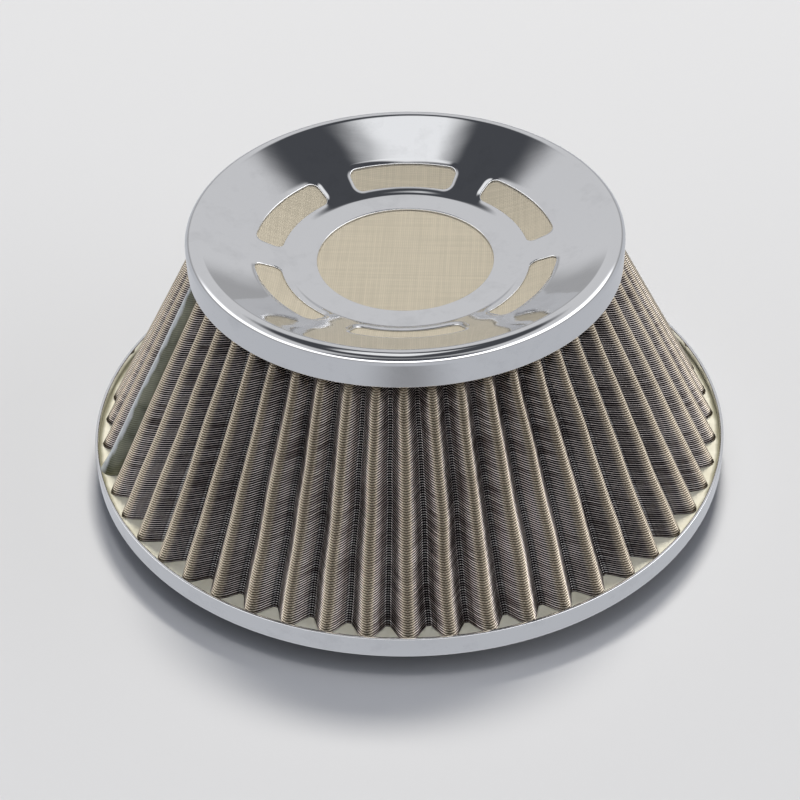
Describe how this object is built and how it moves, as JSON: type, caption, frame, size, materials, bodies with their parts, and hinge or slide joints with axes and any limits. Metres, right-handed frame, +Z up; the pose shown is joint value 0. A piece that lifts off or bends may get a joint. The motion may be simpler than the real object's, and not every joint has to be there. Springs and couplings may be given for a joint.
{
  "type": "cone air filter",
  "caption": "Low cone air filter: a pleated wire-mesh cone set in resin between a chromed base pan with a round inlet and a dished, chromed cap with screened windows.",
  "frame": {"origin": "on the axis of the filter, at the foot of the inlet collar", "axes": "+Z up along the axis, from the inlet to the cap; -Y is the side that faces the viewer"},
  "size_m": [0.2, 0.2, 0.0883],
  "materials": {
    "chrome": "polished chrome plate",
    "wire_mesh": "woven stainless wire",
    "fine_screen": "fine woven stainless wire",
    "resin": "cast resin",
    "seam_resin": "glossy bead of resin"
  },
  "bodies": {
    "root": {"base_pan": "chrome", "base_resin": "resin", "pleated_mesh": "wire_mesh", "seam_bead": "seam_resin", "top_cap": "chrome", "top_screen": "fine_screen", "top_resin": "resin"}
  },
  "joints": []
}
